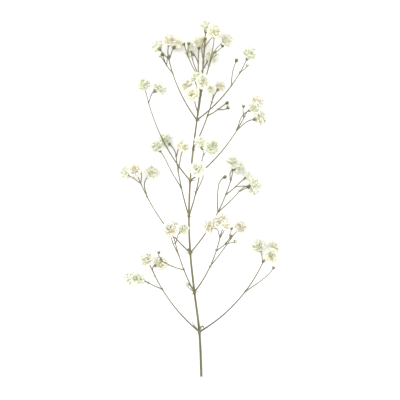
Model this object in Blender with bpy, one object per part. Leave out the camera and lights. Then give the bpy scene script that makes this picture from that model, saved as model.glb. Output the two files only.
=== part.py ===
# Dried gypsophila (baby's breath) stem with double flowers, cut and laid on a flat surface.
#
# The stem lies along +Y with its cut end at -Y, the surface is z = 0, and the origin is the middle
# of its outline on that surface. One slim stalk carries opposite side branches, which fork again
# and again into thin pedicels. Each pedicel ends in a green calyx with a double flower seated in
# it, or in a closed bud. The lowest flowers lie on the surface, where their petals are pressed flat.

import math
import random

import bmesh
import bpy
import numpy as np
from mathutils import Matrix, Vector

MM = 0.001

# Stalk: its cut end, and its nodes as distances right of the cut end and along from it
CUT_END = Vector((0.79 * MM, -107.53 * MM, 0.0))
STALK_NODES_MM = (
    (0.0, 0.0),
    (-1.2, 27.6),
    (-4.2, 52.2),
    (-6.6, 76.0),
    (-7.4, 98.0),
    (-6.6, 119.0),
    (-4.8, 138.0),
    (-2.6, 155.0),
    (-0.4, 170.0),
)
STALK_TIP_MM = (2.6, 208.0)
STALK_RADIUS = 0.72 * MM
STALK_TIP_RADIUS = 0.42 * MM
STALK_SUNK = 0.80
STALK_LIFT = 17.0 * MM
STALK_LIFTED_AT = 105.0 * MM
STALK_SIDES = 7
STALK_RING_STEP = 5.0 * MM
POINTS_PER_NODE = 4

# Side branches: node, turn round the stalk (0 right, 90 up, 180 left), lean from it, length in mm
BRANCHES = (
    (1, -8, 64, 68),
    (1, 176, 46, 56),
    (2, 24, 42, 54),
    (2, 116, 38, 50),
    (3, 206, 50, 64),
    (3, 332, 50, 62),
    (4, 64, 42, 50),
    (4, 244, 40, 48),
    (5, 196, 48, 62),
    (5, -20, 48, 58),
    (6, 98, 40, 46),
    (6, 286, 38, 44),
    (7, 18, 46, 50),
    (7, 190, 46, 50),
    (8, 80, 42, 38),
    (8, 262, 42, 36),
)
STUNTED_TWIG = (2, 196, 52, 9)
BRANCH_RADIUS = 0.44 * MM
SHOOT_RADIUS = 0.34 * MM
PEDICEL_RADIUS = 0.27 * MM
BRANCH_RING_STEP = 7.5 * MM

# How a shoot bends: its lean at the tip as a share of that at the root, and its flower's heading
STRAIGHTENING = 0.35
TIP_TURNS = (0.35, 0.8)
FACE_TURN = 0.9
FACE_UP = 0.55
BEND_STEP = 4.0 * MM

# Forks: how far each is from the tip of its branch, and how long its side shoots grow
BRANCH_FORKS = (9.5 * MM, 18.5 * MM, 30.0 * MM)
SHOOT_FORK = 8.5 * MM
LEAST_ROOT = 9.0 * MM
LEAST_ROOT_SHARE = 0.3
LEAST_SHOOT = 8.0 * MM
SHOOT_SHARE = 0.92
FORK_LEAN = 40.0
FORK_PLANE = 20.0
PLANE_TURN_BY_FORK = 90.0
PLANE_TURN_BY_BRANCH = 35.0
PLANE_TURN_BY_SHOOT = 70.0
NODE_SWELLING = 1.45
BRANCH_SWELLING = 1.3
NODE_HALF_LENGTH = 0.9 * MM

# Shares of blooms and buds on the two side shoots at those forks, and at a side shoot's own fork
TIP_SHARES = (
    ((1.00, 0.00), (0.50, 0.20)),
    ((0.55, 0.15), (0.15, 0.20)),
    ((0.40, 0.20), (0.00, 0.10)),
    ((0.25, 0.20), (0.05, 0.15)),
)
MOST_BLOOMS = 52

# Bracts in a pair at each node of the stalk
BRACT_LENGTH = 3.2 * MM
BRACT_WIDTH = 1.3 * MM
BRACT_THICKNESS = 0.7 * MM
BRACT_LEAN = 68.0
BRACT_LIFT = 0.4

# Calyxes and buds
CALYX_RADIUS = 1.15 * MM
CALYX_LENGTH = 1.7 * MM
CALYX_DISH = 0.2 * MM
CALYX_SHOULDER = (0.72, 0.72)
BUD_WIDTH = 2.2 * MM
BUD_LENGTH = 3.0 * MM
BUD_PROFILE = ((0.8, 0.36), (0.4, 0.5))
BUD_CENTRE = 0.45
BUD_ROOM = 0.55

# Flowers: width by the level of the shoot; rings as shares of half the width, (radius, height)
BLOOM_WIDTHS = {0: 9.4 * MM, 1: 9.4 * MM, 2: 8.9 * MM, 3: 8.2 * MM}
BLOOM_WIDTH_SPREAD = 0.5 * MM
HALF_OPEN_WIDTH = 6.4 * MM
HALF_OPEN_SHARE = 0.12
SMALL_BLOOM = 8.0 * MM
SECTORS = 8
SMALL_SECTORS = 7
BLOOM_GAP = 0.3 * MM
BLOOM_NECK = 0.9 * MM
BLOOM_CENTRE = 0.62
BLOOM_PRESSED = 0.6 * MM
SAG = 2.6 * MM
CORE_RINGS = ((0.44, 0.36), (0.42, 0.80), (0.20, 1.12))
PETAL_RINGS = ((0.88, 0.20), (0.97, 0.74), (0.66, 1.32))
BLOOM_TOP = 1.52
PETAL_SPREAD = 0.78
PETAL_TURN = math.radians(3.0)
PETAL_REACH_SPREAD = 0.06
PETAL_HEIGHT_SPREAD = 0.08
PETAL_TILT = 0.07

# Leaves: node, turn round the stalk, lean from it, length, width and curl
LEAVES = (
    (1, 74, 38, 12.0, 1.9, 75),
    (1, 128, 50, 9.0, 1.7, -30),
    (2, 230, 40, 7.5, 1.5, 30),
    (3, 100, 40, 7.0, 1.4, 60),
)
LEAF_SHARES = (0.35, 0.7, 0.95, 1.0, 0.9, 0.7, 0.45, 0.12)
LEAF_THICKNESS = 0.6 * MM
LEAF_GAP = 0.3 * MM

# Growth
CLEARANCE = 0.4 * MM
SAMPLE_STEP = 1.2 * MM
ROOT_FREE = 3.0 * MM
TRIES = 60
FIRST_LOOSENESS = 0.4
LOOSE_TURN = 28.0
LOOSE_LEAN = 10.0
LOOSE_LENGTH = 0.14
SEED = 136

UP = Vector((0.0, 0.0, 1.0))


class Shoot:
    # One axis of the plant, from the fork that it leaves to its tip

    def __init__(self, points, radius, tip_radius, level, tip):
        self.points = points
        self.radius = radius
        self.tip_radius = tip_radius
        self.level = level
        self.tip = tip
        self.width = 0.0
        self.forks = []

    def length(self):
        return sum((b - a).length for a, b in zip(self.points, self.points[1:]))

    def at(self, distance):
        # The point that far from the root, and the heading there
        for a, b in zip(self.points, self.points[1:]):
            step = (b - a).length
            if distance <= step:
                return a.lerp(b, distance / step), (b - a).normalized()
            distance -= step
        return self.points[-1], self.heading()

    def radius_at(self, distance):
        share = min(1.0, distance / self.length())
        return self.radius + (self.tip_radius - self.radius) * share

    def heading(self):
        return (self.points[-1] - self.points[-2]).normalized()


class Room:
    # The space already taken, as balls: thin ones along the shoots and one for each flower or bud

    def __init__(self):
        self.centres = np.zeros((0, 3))
        self.radii = np.zeros(0)

    def add(self, centres, radii):
        self.centres = np.vstack([self.centres, centres])
        self.radii = np.concatenate([self.radii, radii])

    def free(self, centres, radii):
        apart = np.linalg.norm(self.centres[None, :, :] - centres[:, None, :], axis=2)
        return bool((apart > self.radii[None, :] + radii[:, None] + CLEARANCE).all())


def either_way(draw):
    # A random number from -1 to 1
    return 2.0 * draw.random() - 1.0


def side_of(heading, turn):
    # The direction square to heading, turned round it from right (0 degrees) over the top (90)
    right = heading.cross(UP).normalized()
    over = right.cross(heading)
    angle = math.radians(turn)
    return right * math.cos(angle) + over * math.sin(angle)


def leaning(heading, turn, lean):
    angle = math.radians(lean)
    return heading * math.cos(angle) + side_of(heading, turn) * math.sin(angle)


def curved(start, direction, aim, length, steps, face=None):
    # Points of a shoot that leaves along direction, bends round to aim and turns its tip to face
    points = [start]
    first_turn = steps - len(TIP_TURNS)
    for step in range(steps):
        heading = direction.slerp(aim, (step + 0.5) / steps)
        if face and step >= first_turn:
            heading = heading.slerp(face, TIP_TURNS[step - first_turn])
        points.append(points[-1] + heading * (length / steps))
    return points


def lifted(points, rise):
    # The same shoot bent upwards so that its tip is that much higher
    last = len(points) - 1
    return [p + UP * (rise * (i / last) ** 2) for i, p in enumerate(points)]


def tip_ball(shoot):
    # Centre and radius of the ball that holds the shoot's flower or bud
    tip, heading = shoot.points[-1], shoot.heading()
    if shoot.tip == "bloom":
        half = shoot.width / 2
        return tip + heading * (half * BLOOM_CENTRE), half
    return tip - heading * (BUD_LENGTH * BUD_CENTRE), BUD_WIDTH * BUD_ROOM


def samples_along(shoot, skip):
    # Balls along the shoot, leaving out the stretch next to its root
    total = shoot.length()
    count = max(2, int(total / SAMPLE_STEP) + 1)
    distances = [total * i / count for i in range(count + 1) if total * i / count >= skip]
    centres = [shoot.at(d)[0] for d in distances]
    radii = [shoot.radius_at(d) for d in distances]
    return np.array(centres).reshape(-1, 3), np.array(radii)


def lay_on_surface(shoot):
    # Bends the shoot so that a flower that is under the surface or just over it lies on it
    pressed = BLOOM_PRESSED if shoot.tip == "bloom" else 0.0
    for _ in range(4):
        centre, ball = tip_ball(shoot)
        below = ball - pressed - centre.z
        if below > -SAG:
            shoot.points = lifted(shoot.points, below)


def fits(shoot, room):
    centre, ball = tip_ball(shoot)
    if min(p.z for p in shoot.points) < shoot.radius or shoot.points[-1].z < CALYX_RADIUS:
        return False
    along, radii = samples_along(shoot, ROOT_FREE)
    if not room.free(along, radii):
        return False
    return room.free(np.array([centre]), np.array([ball]))


def take_room(shoot, room):
    centre, ball = tip_ball(shoot)
    room.add(*samples_along(shoot, 0.0))
    room.add(np.array([centre]), np.array([ball]))


def smooth_between(before, a, b, after, t):
    # A point on the smooth curve from a to b
    linear = (b - before) * t
    square = (2 * before - 5 * a + 4 * b - after) * t**2
    cube = (3 * a - before - 3 * b + after) * t**3
    return 0.5 * (2 * a + linear + square + cube)


def main_stalk():
    # A smooth curve through the stalk's nodes, rising from the surface into the crown
    knots = []
    for x, y in [*STALK_NODES_MM, STALK_TIP_MM]:
        share = min(1.0, y * MM / STALK_LIFTED_AT)
        rise = share * share * (3.0 - 2.0 * share)
        height = STALK_RADIUS * STALK_SUNK + STALK_LIFT * rise
        knots.append(Vector((x * MM, y * MM, height)))
    points = []
    for i, (a, b) in enumerate(zip(knots, knots[1:])):
        before = knots[max(0, i - 1)]
        after = knots[min(len(knots) - 1, i + 2)]
        for k in range(POINTS_PER_NODE):
            points.append(smooth_between(before, a, b, after, k / POINTS_PER_NODE))
    points.append(knots[-1])
    stalk = Shoot(points, STALK_RADIUS, STALK_TIP_RADIUS, 0, "bloom")
    stalk.width = BLOOM_WIDTHS[0]
    for node in range(1, len(STALK_NODES_MM)):
        reached = points[: node * POINTS_PER_NODE + 1]
        stalk.forks.append(sum((b - a).length for a, b in zip(reached, reached[1:])))
    return stalk


def tip_width(tip, level, draw):
    if tip == "bud":
        return BUD_WIDTH
    width = HALF_OPEN_WIDTH if draw.random() < HALF_OPEN_SHARE else BLOOM_WIDTHS[level]
    return width + BLOOM_WIDTH_SPREAD * either_way(draw)


def side_shoot(parent, distance, turn, lean, length, radius, level, tip, draw):
    start, heading = parent.at(distance)
    leaves_at = leaning(heading, turn, lean)
    aim = leaning(heading, turn, lean * STRAIGHTENING)
    anywhere = Vector([either_way(draw) for _ in range(3)])
    face = (aim + anywhere * FACE_TURN + UP * FACE_UP).normalized()
    steps = max(4, round(length / BEND_STEP))
    points = curved(start, leaves_at, aim, length, steps, face)
    shoot = Shoot(points, radius, PEDICEL_RADIUS, level, tip)
    shoot.width = tip_width(tip, level, draw)
    lay_on_surface(shoot)
    return shoot


def grown_shoot(parent, distance, turn, lean, length, radius, level, tip, room, draw):
    # Draws shoots near the wanted one until one has room, and gives None if none has
    for attempt in range(TRIES):
        loose = FIRST_LOOSENESS + attempt / TRIES
        near_turn = turn + LOOSE_TURN * loose * either_way(draw)
        near_lean = lean + LOOSE_LEAN * loose * either_way(draw)
        near_length = length * (1.0 + LOOSE_LENGTH * loose * either_way(draw))
        shoot = side_shoot(
            parent, distance, near_turn, near_lean, near_length, radius, level, tip, draw
        )
        if fits(shoot, room):
            take_room(shoot, room)
            return shoot
    return None


def drawn_tip(shares, shoots, draw):
    # A bloom, a bud or nothing, by the shares of the first two
    value = draw.random()
    blooms = sum(s.tip == "bloom" for s in shoots)
    if value < shares[0] and blooms < MOST_BLOOMS:
        return "bloom"
    return "bud" if value < shares[0] + shares[1] else None


def grow_fork(parent, place, plane, length, radius, level, shares, shoots, room, draw):
    # Up to two side shoots opposite each other, at one place on the parent
    grown = []
    for side in (0, 1):
        tip = drawn_tip(shares[side], shoots + grown, draw)
        turn = plane + 180.0 * side
        if tip:
            shoot = grown_shoot(
                parent, place, turn, FORK_LEAN, length, radius, level, tip, room, draw
            )
            if shoot:
                grown.append(shoot)
    if grown:
        parent.forks.append(place)
    return grown


def grow_plant():
    # The whole plant as a list of shoots, the stalk first
    draw = random.Random(SEED)
    room = Room()
    stalk = main_stalk()
    take_room(stalk, room)
    axes = [stalk]
    for node, turn, lean, length in BRANCHES:
        branch = grown_shoot(
            stalk, stalk.forks[node - 1], turn, lean, length * MM, BRANCH_RADIUS, 1, "bloom",
            room, draw,
        )
        if branch:
            axes.append(branch)
    node, turn, lean, length = STUNTED_TWIG
    twig = grown_shoot(
        stalk, stalk.forks[node - 1], turn, lean, length * MM, PEDICEL_RADIUS, 3, "bud", room, draw
    )
    shoots = [*axes, twig] if twig else list(axes)

    long_shoots = []
    for k, from_tip in enumerate(BRANCH_FORKS):
        for index, branch in enumerate(axes):
            place = branch.length() - from_tip
            if place < LEAST_ROOT:
                continue
            plane = FORK_PLANE + PLANE_TURN_BY_FORK * k + PLANE_TURN_BY_BRANCH * index
            length = max(LEAST_SHOOT, from_tip * SHOOT_SHARE)
            radius = SHOOT_RADIUS if k else PEDICEL_RADIUS
            grown = grow_fork(
                branch, place, plane, length, radius, 2, TIP_SHARES[k], shoots, room, draw
            )
            shoots += grown
            long_shoots += grown if k else []

    for index, shoot in enumerate(long_shoots):
        place = shoot.length() - SHOOT_FORK
        if place > LEAST_ROOT_SHARE * shoot.length():
            shoots += grow_fork(
                shoot, place, PLANE_TURN_BY_SHOOT * index, SHOOT_FORK, PEDICEL_RADIUS, 3,
                TIP_SHARES[-1], shoots, room, draw,
            )
    return shoots


def mesh_object(bm, name):
    bmesh.ops.recalc_face_normals(bm, faces=bm.faces)
    mesh = bpy.data.meshes.new(name)
    bm.to_mesh(mesh)
    bm.free()
    obj = bpy.data.objects.new(name, mesh)
    bpy.context.scene.collection.objects.link(obj)
    return obj


def plain_material(name, colour, roughness):
    material = bpy.data.materials.new(name)
    material.use_nodes = True
    shader = material.node_tree.nodes["Principled BSDF"]
    shader.inputs["Base Color"].default_value = (*colour, 1.0)
    shader.inputs["Roughness"].default_value = roughness
    shader.inputs["Metallic"].default_value = 0.0
    return material


def ring_directions(points):
    # A pair of directions square to the path at each point, carried along without twisting
    headings = []
    for i in range(len(points)):
        before, after = points[max(0, i - 1)], points[min(len(points) - 1, i + 1)]
        headings.append((after - before).normalized())
    across = side_of(headings[0], 0.0)
    pairs = []
    for heading in headings:
        across = (across - heading * across.dot(heading)).normalized()
        pairs.append((across, heading.cross(across)))
    return pairs


def add_tube(bm, points, radii, sides, apex):
    # A closed tube through the points, which ends in a fan round the apex
    loops = []
    for centre, (across, over), radius in zip(points, ring_directions(points), radii):
        loop = []
        for k in range(sides):
            angle = 2.0 * math.pi * (k + 0.5) / sides
            offset = across * math.cos(angle) + over * math.sin(angle)
            loop.append(bm.verts.new(centre + offset * radius))
        loops.append(loop)
    for low, high in zip(loops, loops[1:]):
        for k in range(sides):
            n = (k + 1) % sides
            bm.faces.new((low[k], low[n], high[n], high[k]))
    bm.faces.new(list(reversed(loops[0])))
    end = bm.verts.new(apex)
    for k in range(sides):
        bm.faces.new((loops[-1][k], loops[-1][(k + 1) % sides], end))


def shoot_profile(shoot):
    # Distances along the shoot and the radius at each, with a swelling at each fork
    total = shoot.length()
    end = total - (CALYX_LENGTH if shoot.tip == "bloom" else BUD_LENGTH)
    step = BRANCH_RING_STEP if shoot.level else STALK_RING_STEP
    count = max(2, round(end / step))
    stops = [(end * i / count, 1.0) for i in range(count + 1)]
    for fork in shoot.forks:
        stops = [s for s in stops if abs(s[0] - fork) > 2.0 * NODE_HALF_LENGTH]
        if shoot.level == 0:
            stops += [(fork - NODE_HALF_LENGTH, 1.0), (fork, NODE_SWELLING)]
            stops += [(fork + NODE_HALF_LENGTH, 1.0)]
        else:
            stops += [(fork, BRANCH_SWELLING)]
    stops.sort()
    profile = [(distance, shoot.radius_at(distance) * swelling) for distance, swelling in stops]
    if shoot.tip == "bloom":
        back, share = CALYX_SHOULDER
        profile += [(total - CALYX_LENGTH * back, CALYX_RADIUS * share), (total, CALYX_RADIUS)]
    else:
        profile += [(total - BUD_LENGTH * back, BUD_WIDTH * share) for back, share in BUD_PROFILE]
    return profile


def shoot_object(shoot, name):
    profile = shoot_profile(shoot)
    points = [shoot.at(distance)[0] for distance, _ in profile]
    radii = [radius for _, radius in profile]
    sides = 5 if shoot.tip == "bloom" else 4
    if shoot.level == 0:
        sides = STALK_SIDES
    dish = CALYX_DISH if shoot.tip == "bloom" else 0.0
    bm = bmesh.new()
    add_tube(bm, points, radii, sides, shoot.points[-1] - shoot.heading() * dish)
    return mesh_object(bm, name)


def bract_object(stalk, node, turn, name):
    # A flat spike that stands out under a side branch, with its base inside the stalk
    start, heading = stalk.at(stalk.forks[node - 1] - NODE_HALF_LENGTH / 2)
    out = leaning(heading, turn, BRACT_LEAN)
    across = heading.cross(out).normalized() * (BRACT_WIDTH / 2)
    over = out.cross(across).normalized() * (BRACT_THICKNESS / 2)
    point = out * (BRACT_LENGTH + stalk.radius) + heading * (BRACT_LENGTH * BRACT_LIFT)
    bm = bmesh.new()
    corners = (-across - over, across - over, across + over, over - across)
    base = [bm.verts.new(start + corner) for corner in corners]
    apex = bm.verts.new(start + point)
    bm.faces.new(base)
    for k in range(4):
        bm.faces.new((base[k], base[(k + 1) % 4], apex))
    return mesh_object(bm, name)


def joined(objects, name):
    # All the objects as one body
    base, rest = objects[0], objects[1:]
    group = bpy.data.collections.new("joined_shoots")
    for obj in rest:
        group.objects.link(obj)
    modifier = base.modifiers.new("join", "BOOLEAN")
    modifier.operation = "UNION"
    modifier.operand_type = "COLLECTION"
    modifier.collection = group
    modifier.solver = "MANIFOLD"
    graph = bpy.context.evaluated_depsgraph_get()
    mesh = bpy.data.meshes.new_from_object(base.evaluated_get(graph))
    mesh.materials.clear()
    base.modifiers.clear()
    base.data = mesh
    for obj in rest:
        bpy.data.objects.remove(obj)
    bpy.data.collections.remove(group)
    base.name = name
    return base


def press_flat(obj):
    # Trims off what would be under the surface, which leaves small flat spots that the stem rests on
    back = obj.matrix_basis.inverted()
    bm = bmesh.new()
    bm.from_mesh(obj.data)
    cut = bmesh.ops.bisect_plane(
        bm,
        geom=bm.verts[:] + bm.edges[:] + bm.faces[:],
        plane_co=back @ Vector(),
        plane_no=(back.to_3x3() @ UP).normalized(),
        clear_inner=True,
    )
    rims = [e for e in cut["geom_cut"] if isinstance(e, bmesh.types.BMEdge)]
    if rims:
        bmesh.ops.holes_fill(bm, edges=rims)
    bmesh.ops.recalc_face_normals(bm, faces=bm.faces)
    bm.to_mesh(obj.data)
    bm.free()


def build_stalk(shoots, material):
    pieces = [shoot_object(s, f"shoot_{i}") for i, s in enumerate(shoots)]
    for i, (node, turn, _, _) in enumerate(BRANCHES):
        if node > 1:
            pieces.append(bract_object(shoots[0], node, turn, f"bract_{i}"))
    stalk = joined(pieces, "stalk")
    press_flat(stalk)
    stalk.data.materials.append(material)
    return stalk


def add_petal(bm, low, high, angle, reach, height, half_edge, tilt):
    # A wedge that stands out of the core between its edges low and high
    outwards = Vector((math.cos(angle), math.sin(angle), 0.0))
    along = Vector((-math.sin(angle), math.cos(angle), 0.0))
    tip = outwards * reach + UP * height
    left = bm.verts.new(tip - along * half_edge - UP * tilt)
    right = bm.verts.new(tip + along * half_edge + UP * tilt)
    bm.faces.new((low[0], low[1], right, left))
    bm.faces.new((low[1], high[1], right))
    bm.faces.new((high[1], high[0], left, right))
    bm.faces.new((high[0], low[0], left))


def bloom_mesh(bm, width, sectors, draw):
    # A dense core with three rings of petals raised from its faces, and a tuft on top
    half = width / 2
    sector = 2.0 * math.pi / sectors
    levels = [(BLOOM_NECK, BLOOM_GAP), *((half * r, half * h) for r, h in CORE_RINGS)]
    rings = []
    for j, (radius, height) in enumerate(levels):
        angles = [sector * (k + 0.5 * j) for k in range(sectors)]
        places = [(radius * math.cos(a), radius * math.sin(a), height) for a in angles]
        rings.append([bm.verts.new(place) for place in places])
    bm.faces.new(list(reversed(rings[0])))
    for j, (reach_share, height_share) in enumerate(PETAL_RINGS):
        for k in range(sectors):
            n = (k + 1) % sectors
            angle = sector * (k + 0.75 + 0.5 * j) + PETAL_TURN * either_way(draw)
            reach = half * reach_share * (1.0 + PETAL_REACH_SPREAD * either_way(draw))
            height = half * (height_share + PETAL_HEIGHT_SPREAD * either_way(draw))
            tilt = half * PETAL_TILT * either_way(draw)
            half_edge = half * reach_share * sector / 2 * PETAL_SPREAD
            low = (rings[j][k], rings[j][n])
            high = (rings[j + 1][k], rings[j + 1][n])
            add_petal(bm, low, high, angle, reach, height, half_edge, tilt)
    top = bm.verts.new((0.0, 0.0, half * BLOOM_TOP))
    for k in range(sectors):
        bm.faces.new((rings[-1][k], rings[-1][(k + 1) % sectors], top))
    bmesh.ops.triangulate(bm, faces=bm.faces)


def build_bloom(shoot, name, material, draw):
    sectors = SMALL_SECTORS if shoot.width < SMALL_BLOOM else SECTORS
    bm = bmesh.new()
    bloom_mesh(bm, shoot.width, sectors, draw)
    bloom = mesh_object(bm, name)
    turn = Matrix.Rotation(2.0 * math.pi * draw.random(), 4, "Z")
    lean = shoot.heading().to_track_quat("Z", "Y").to_matrix().to_4x4()
    bloom.matrix_basis = Matrix.Translation(shoot.points[-1]) @ lean @ turn
    press_flat(bloom)
    bloom.data.materials.append(material)
    return bloom


def build_leaf(stalk, leaf, name, material):
    # A narrow dry blade, widest near its middle and curled along its length
    node, turn, lean, length, width, curl = leaf
    start, heading = stalk.at(stalk.forks[node - 1])
    leaves_at = leaning(heading, turn, lean)
    clear = (stalk.radius * NODE_SWELLING + LEAF_GAP) / math.sin(math.radians(lean))
    aim = leaning(heading, turn, lean + curl)
    last = len(LEAF_SHARES) - 1
    points = curved(start + leaves_at * clear, leaves_at, aim, length * MM, last)
    across = heading.cross(leaves_at).normalized()
    bm = bmesh.new()
    loops = []
    for i, (point, share) in enumerate(zip(points, LEAF_SHARES)):
        ahead = (points[min(last, i + 1)] - points[max(0, i - 1)]).normalized()
        over = ahead.cross(across).normalized() * (LEAF_THICKNESS / 2)
        side = across * (width * MM / 2 * share)
        corners = (-side - over, side - over, side + over, over - side)
        loops.append([bm.verts.new(point + corner) for corner in corners])
    for low, high in zip(loops, loops[1:]):
        for k in range(4):
            n = (k + 1) % 4
            bm.faces.new((low[k], low[n], high[n], high[k]))
    bm.faces.new(list(reversed(loops[0])))
    bm.faces.new(loops[-1])
    blade = mesh_object(bm, name)
    blade.data.materials.append(material)
    return blade


def build():
    for obj in list(bpy.data.objects):
        bpy.data.objects.remove(obj)
    plant = bpy.data.objects.new("plant", None)
    plant.location = CUT_END
    bpy.context.scene.collection.objects.link(plant)
    bpy.context.view_layer.update()
    green = plain_material("dried_stalk", (0.30, 0.32, 0.15), 0.7)
    olive = plain_material("dried_leaf", (0.27, 0.25, 0.12), 0.75)
    ivory = plain_material("ivory_petals", (0.86, 0.84, 0.74), 0.8)

    shoots = grow_plant()
    parts = [build_stalk(shoots, green)]
    for i, leaf in enumerate(LEAVES):
        parts.append(build_leaf(shoots[0], leaf, f"leaf_{i + 1}", olive))
    draw = random.Random(SEED + 1)
    blooms = [s for s in shoots if s.tip == "bloom"]
    for i, shoot in enumerate(blooms):
        parts.append(build_bloom(shoot, f"bloom_{i + 1:02d}", ivory, draw))
    for obj in parts:
        obj.parent = plant
    print(f"{len(blooms)} blooms on {len(shoots)} shoots")


build()
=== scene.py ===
# Dried gypsophila stem with double flowers, laid on a pale table and seen from straight above.
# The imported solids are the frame. The stem is grown again here by the same rule and seed, and each
# solid is dressed with finer skin: round stalks, toothed calyxes, thin crinkled petals, curled leaves.

import math
import random

import bpy
import numpy as np
from mathutils import Matrix, Vector


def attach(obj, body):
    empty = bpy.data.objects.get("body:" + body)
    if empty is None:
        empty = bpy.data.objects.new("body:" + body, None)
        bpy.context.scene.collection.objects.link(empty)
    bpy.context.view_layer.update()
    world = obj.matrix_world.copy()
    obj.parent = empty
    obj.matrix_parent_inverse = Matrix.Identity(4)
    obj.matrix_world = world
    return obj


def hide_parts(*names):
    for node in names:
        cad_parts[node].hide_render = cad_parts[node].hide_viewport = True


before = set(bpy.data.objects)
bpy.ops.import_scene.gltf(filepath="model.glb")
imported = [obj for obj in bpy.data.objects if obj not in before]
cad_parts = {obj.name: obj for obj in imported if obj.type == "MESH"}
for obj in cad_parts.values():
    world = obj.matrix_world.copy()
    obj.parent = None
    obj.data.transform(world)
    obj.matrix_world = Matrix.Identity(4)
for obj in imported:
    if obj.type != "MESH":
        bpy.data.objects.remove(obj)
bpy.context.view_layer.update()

mm = 0.001
up = Vector((0.0, 0.0, 1.0))
creaseAngle = math.radians(62.0)  # edges bent more than this stay crisp
tubeSoftness = 0.12 * mm  # how softly a stalk is pressed flat where it lies on the table
wayStep = 10.0 * mm  # a stalk's length that counts as one in "way"
thinRim = 0.45  # thickness at the rim of a petal, bract or leaf, as a share of its thickness

# How the stem grows. These values set out the solids too, so they aren't for changing here alone
growth = {
    "seed": 136,
    "cutEnd": Vector((0.79 * mm, -107.53 * mm, 0.0)),
    "nodes": ((0.0, 0.0), (-1.2, 27.6), (-4.2, 52.2), (-6.6, 76.0), (-7.4, 98.0), (-6.6, 119.0),
              (-4.8, 138.0), (-2.6, 155.0), (-0.4, 170.0)),
    "stalkTip": (2.6, 208.0),
    "stalkRadius": 0.72 * mm,
    "stalkTipRadius": 0.42 * mm,
    "stalkSunk": 0.80,
    "stalkLift": 17.0 * mm,
    "liftedAt": 105.0 * mm,
    "pointsPerNode": 4,
    # node, turn round the stalk, lean from it, length in mm
    "branches": ((1, -8, 64, 68), (1, 176, 46, 56), (2, 24, 42, 54), (2, 116, 38, 50),
                 (3, 206, 50, 64), (3, 332, 50, 62), (4, 64, 42, 50), (4, 244, 40, 48),
                 (5, 196, 48, 62), (5, -20, 48, 58), (6, 98, 40, 46), (6, 286, 38, 44),
                 (7, 18, 46, 50), (7, 190, 46, 50), (8, 80, 42, 38), (8, 262, 42, 36)),
    "stuntedTwig": (2, 196, 52, 9),
    "branchRadius": 0.44 * mm,
    "shootRadius": 0.34 * mm,
    "pedicelRadius": 0.27 * mm,
    "straightening": 0.35,
    "tipTurns": (0.35, 0.8),
    "faceTurn": 0.9,
    "faceUp": 0.55,
    "bendStep": 4.0 * mm,
    "branchForks": (9.5 * mm, 18.5 * mm, 30.0 * mm),
    "shootFork": 8.5 * mm,
    "leastRoot": 9.0 * mm,
    "leastRootShare": 0.3,
    "leastShoot": 8.0 * mm,
    "shootShare": 0.92,
    "forkLean": 40.0,
    "forkPlane": 20.0,
    "planeTurns": (90.0, 35.0, 70.0),
    "tipShares": (((1.00, 0.00), (0.50, 0.20)), ((0.55, 0.15), (0.15, 0.20)),
                  ((0.40, 0.20), (0.00, 0.10)), ((0.25, 0.20), (0.05, 0.15))),
    "mostBlooms": 52,
    "calyxRadius": 1.15 * mm,
    "budWidth": 2.2 * mm,
    "budLength": 3.0 * mm,
    "budCentre": 0.45,
    "budRoom": 0.55,
    "bloomWidths": {0: 9.4 * mm, 1: 9.4 * mm, 2: 8.9 * mm, 3: 8.2 * mm},
    "bloomSpread": 0.5 * mm,
    "halfOpen": 6.4 * mm,
    "halfOpenShare": 0.12,
    "bloomCentre": 0.62,
    "bloomPressed": 0.6 * mm,
    "sag": 2.6 * mm,
    "clearance": 0.4 * mm,
    "sampleStep": 1.2 * mm,
    "rootFree": 3.0 * mm,
    "tries": 60,
    "looseness": 0.4,
    "looseTurn": 28.0,
    "looseLean": 10.0,
    "looseLength": 0.14,
}


class Shoot:
    # One axis of the stem, from the fork that it leaves to its tip

    def __init__(self, points, radius, tipRadius, level, tip):
        self.points = points
        self.radius = radius
        self.tipRadius = tipRadius
        self.level = level
        self.tip = tip
        self.width = 0.0
        self.forks = []

    def length(self):
        return sum((b - a).length for a, b in zip(self.points, self.points[1:]))

    def at(self, distance):
        for a, b in zip(self.points, self.points[1:]):
            step = (b - a).length
            if distance <= step:
                return a.lerp(b, distance / step), (b - a).normalized()
            distance -= step
        return self.points[-1], self.heading()

    def radiusAt(self, distance):
        share = min(1.0, distance / self.length())
        return self.radius + (self.tipRadius - self.radius) * share

    def heading(self):
        return (self.points[-1] - self.points[-2]).normalized()

    def smoothAt(self, distance):
        # The point that far along, on the smooth curve through the shoot's points
        last = len(self.points) - 1
        for i, (a, b) in enumerate(zip(self.points, self.points[1:])):
            step = (b - a).length
            if distance <= step or i == last - 1:
                before = self.points[max(0, i - 1)]
                after = self.points[min(last, i + 2)]
                return smoothBetween(before, a, b, after, min(1.0, distance / step))
            distance -= step


class Room:
    # The space already taken, as balls along the shoots and one for each flower or bud

    def __init__(self):
        self.centres = np.zeros((0, 3))
        self.radii = np.zeros(0)

    def add(self, centres, radii):
        self.centres = np.vstack([self.centres, centres])
        self.radii = np.concatenate([self.radii, radii])

    def free(self, centres, radii):
        apart = np.linalg.norm(self.centres[None, :, :] - centres[:, None, :], axis=2)
        return bool((apart > self.radii[None, :] + radii[:, None] + growth["clearance"]).all())


def eitherWay(draw):
    return 2.0 * draw.random() - 1.0


def sideOf(heading, turn):
    # The direction square to heading, turned round it from right (0 degrees) over the top (90)
    right = heading.cross(up).normalized()
    over = right.cross(heading)
    angle = math.radians(turn)
    return right * math.cos(angle) + over * math.sin(angle)


def leaning(heading, turn, lean):
    angle = math.radians(lean)
    return heading * math.cos(angle) + sideOf(heading, turn) * math.sin(angle)


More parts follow.
